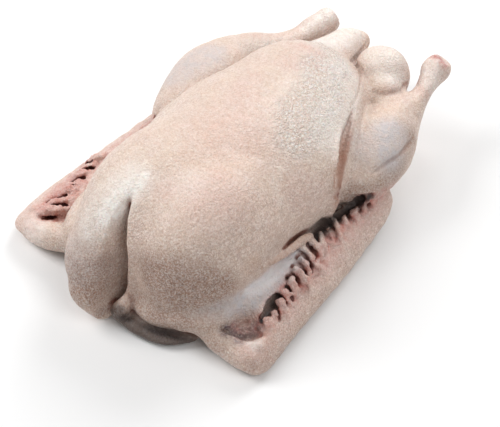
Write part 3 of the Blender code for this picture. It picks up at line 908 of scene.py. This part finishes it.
def skin_material():
    material = bpy.data.materials.new("duck_skin")
    material.use_nodes = True
    tree = Tree(material.node_tree)
    shader = material.node_tree.nodes["Principled BSDF"]
    where = tree.add("ShaderNodeTexCoord", output="Object")
    mask = {name: tree.add("ShaderNodeAttribute", output="Fac", settings={"attribute_name": name})
            for name in MASKS}
    wide, middle, small, fleck, speck, bristle = (
        tree.group(CLOUDS, "Patches", Vector=where, Size=size, Sharpness=edge) for size, edge in PATCHES)
    grain = tree.group(PORES, "Height", Vector=where, Size=0.002)
    pit = grain.node.outputs["Pit"]
    lines = tree.group(CREASES, "Height", Vector=where, Size=0.0045, Length=0.4)

    def broken(name, patches, least):
        """A painted mask, thinned by patches down to the least share."""
        return tree.times(mask[name], tree.fit(patches, 0.0, 1.0, least, 1.0), clamp=True)

    def stain(colour, name, patches, least, tint):
        return tree.mix(broken(name, patches, least), colour, tint)

    def by_slope(level, steep):
        """One value where the skin faces up and another where it is steep."""
        return tree.fit(mask["grit"], 0.0, 1.0, level, steep)

    colour = tree.mix(tree.times(wide, 0.55), CREAM, PINK)
    colour = tree.mix(tree.times(middle, 0.35), colour, STRAW)
    colour = tree.mix(tree.times(small, 0.3), colour, DUST)
    colour = stain(colour, "fat", middle, 0.5, FAT)
    colour = stain(colour, "blush", middle, 0.45, BLUSH)
    # brown patches and painted shade on the lower parts, broken up by clouds
    brown_patchiness = tree.math("ADD", tree.times(middle, 0.3), tree.times(fleck, 0.25))
    colour = tree.mix(tree.times(mask["earth"], tree.math("ADD", brown_patchiness, 0.68), clamp=True), colour, BROWN_SHADE_TINT)
    # the grain's tints, stronger and mostly darker on steep skin as painted shade on the sides
    for patches, level, steep, tint in ((fleck, 0.4, 0.44, FLECK), (speck, 0.26, 0.46, PALE_AND_HIGHLIGHT),
                                        (bristle, 0.16, 0.4, PORE)):
        colour = tree.mix(tree.times(patches, by_slope(level, steep)), colour, tint)
    # painted glints on the wet, wrinkled skin at the rear
    colour = tree.mix(tree.times(mask["crumple"], tree.fit(fleck, 0.4, 0.9, 0.1, 0.66)), colour, PALE_AND_HIGHLIGHT)
    colour = tree.mix(tree.times(tree.fit(lines, 0.0, 1.0, 0.3, 0.0), by_slope(0.3, 1.0)), colour, PORE)
    colour = stain(colour, "muscle", small, 0.55, MUSCLE)
    colour = tree.mix(tree.times(pit, 0.5), colour, PORE)
    # brown membrane, partly painted shade in the creases
    colour = stain(colour, "slit", middle, 0.8, MEMBRANE_AND_SHADE)
    colour = stain(colour, "mottle", fleck, 0.35, tree.mix(small, BRUISE, STEEL))
    # painted highlights and painted light from the pale mask, with some white cartilage
    colour = stain(colour, "pale", small, 0.6, PALE_AND_HIGHLIGHT)
    # white sinew, lightened as painted light where the breast shades it
    colour = stain(colour, "sinew", small, 0.8, SINEW_AND_LIGHT)
    colour = stain(colour, "cut", fleck, 0.4, CUT)

    # Torn flesh, redder in its crevices and darkest red in the deepest, partly as painted shade; then painted
    # shade darkens every crevice, and painted shade turns deep gaps dark
    deep = mask["crevice"]
    flesh = tree.mix(tree.fit(deep, 0.45, 1.0), tree.mix(small, BLUSH, RAW), BLOOD)
    bare = tree.times(broken("raw", small, 0.5), tree.fit(deep, 0.0, 0.5, 0.5, 1.0))
    colour = tree.mix(bare, colour, flesh)
    colour = tree.mix(1.0, colour, tree.mix(tree.fit(deep, 0.3, 0.95), (1, 1, 1, 1), CREVICE_SHADE), "MULTIPLY")
    # painted shade from the shade mask, fullest where the hollow mask reads deep
    painted_shade = tree.times(mask["shade"], tree.fit(mask["hollow"], 0.1, 0.7, 0.75, 1.0))
    tree.put(shader.inputs["Base Color"], tree.mix(painted_shade, colour, SHADE))

    rough = tree.math("SUBTRACT", 0.50, tree.times(mask["crumple"], 0.28))
    rough = tree.math("SUBTRACT", rough, tree.times(mask["raw"], 0.12))
    tree.put(shader.inputs["Roughness"], tree.math("ADD", rough, tree.fit(fleck, 0.0, 1.0, -0.07, 0.07)))
    share = tree.math("ADD", tree.fit(mask["crumple"], 0.0, 1.0, 1.0, 2.6), tree.times(mask["grit"], 0.5))
    height = tree.math("ADD", tree.times(grain, share), tree.times(lines, 0.04))
    tree.put(shader.inputs["Normal"],
             tree.add("ShaderNodeBump", Strength=0.8, Distance=BUMP_REACH, Height=height))
    for name, value in (("Subsurface Weight", 0.12), ("Subsurface Radius", (1.0, 0.45, 0.28)),
                        ("Subsurface Scale", 0.004), ("Coat Weight", 0.12), ("Coat Roughness", 0.28)):
        shader.inputs[name].default_value = value
    return material


# %% The finished bird
TRIANGLE_LIMIT = 196000
body = add_object("duck_body", skin)
settled = body.modifiers.new("settled", "SMOOTH")       # takes the cells' steps out of the narrow slits
settled.factor, settled.iterations = 0.5, 1
relief = body.modifiers.new("relief", "NODES")
relief.node_group = skin_relief()
for name, value in (("Lump Size", 0.022), ("Lump Height", 0.002), ("Wrinkle Size", 0.0042),
                    ("Wrinkle Height", 0.0006), ("Torn Size", 0.005), ("Torn Height", 0.007),
                    ("Material", skin_material())):
    set_input(relief, name, value)
thinned = body.modifiers.new("thinned", "DECIMATE")
thinned.ratio = TRIANGLE_LIMIT / (2 * len(skin.polygons))
duck = add_object("duck_bird", evaluated_mesh(body))
duck.data.shade_smooth()
bpy.data.objects.remove(body, do_unlink=True)
print("finished bird:", len(duck.data.polygons), "faces")
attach(duck, "root")
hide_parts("duck")

# %% [markdown]
# ## Floor, light and camera
# A pale floor, a weak white sky and three large soft lights: the strongest above the far wing's side, a
# weaker one above the near side, and one behind.

# %% Stage
HALF_FLOOR = 3.0
floor_mesh = bpy.data.meshes.new("floor")
corners = [(x * HALF_FLOOR, y * HALF_FLOOR, 0) for x, y in ((-1, -1), (1, -1), (1, 1), (-1, 1))]
floor_mesh.from_pydata(corners, [], [(0, 1, 2, 3)])
floor = add_object("floor", floor_mesh)
floor_finish = bpy.data.materials.new("floor")
floor_finish.use_nodes = True
floor_shader = floor_finish.node_tree.nodes["Principled BSDF"]
floor_shader.inputs["Base Color"].default_value = (0.9, 0.9, 0.9, 1)
floor_shader.inputs["Roughness"].default_value = 0.8
floor_mesh.materials.append(floor_finish)

world = bpy.data.worlds.new("sky")
world.use_nodes = True
sky = world.node_tree.nodes["Background"].inputs
sky["Color"].default_value, sky["Strength"].default_value = (1, 1, 1, 1), 0.23
bpy.context.scene.world = world

LIGHT_AIM, LIGHT_SIZE = Vector((0, 0, 0.05)), 0.9
LIGHTS = {"key_light": ((-1.0, -0.55, 1.05), 17), "fill_light": ((1.0, -0.2, 1.1), 7.5),
          "back_light": ((-0.2, 1.2, 1.0), 16.5)}       # where each hangs, and its watts
for name, (place, watts) in LIGHTS.items():
    light = bpy.data.lights.new(name, "AREA")
    light.size, light.energy = LIGHT_SIZE, watts
    item = add_object(name, light)
    item.location = place
    item.rotation_euler = (LIGHT_AIM - Vector(place)).to_track_quat("-Z", "Y").to_euler()
bpy.context.scene.view_settings.view_transform = "Standard"

# %% Camera
AZIMUTH, ELEVATION, DISTANCE, LENS = 39.5, 46.5, 1.04, 96.0
AIM = (Vector((35.3, -45, 47)) - ORIGIN) * MM
turn, rise = math.radians(AZIMUTH), math.radians(ELEVATION)
towards = Vector((math.sin(turn) * math.cos(rise), -math.cos(turn) * math.cos(rise), math.sin(rise)))
camera = bpy.data.cameras.new("camera")
camera.lens = LENS
camera.sensor_width = 36
camera_item = add_object("camera", camera)
camera_item.location = AIM + towards * DISTANCE
camera_item.rotation_euler = (-towards).to_track_quat("-Z", "Y").to_euler()
bpy.context.scene.camera = camera_item
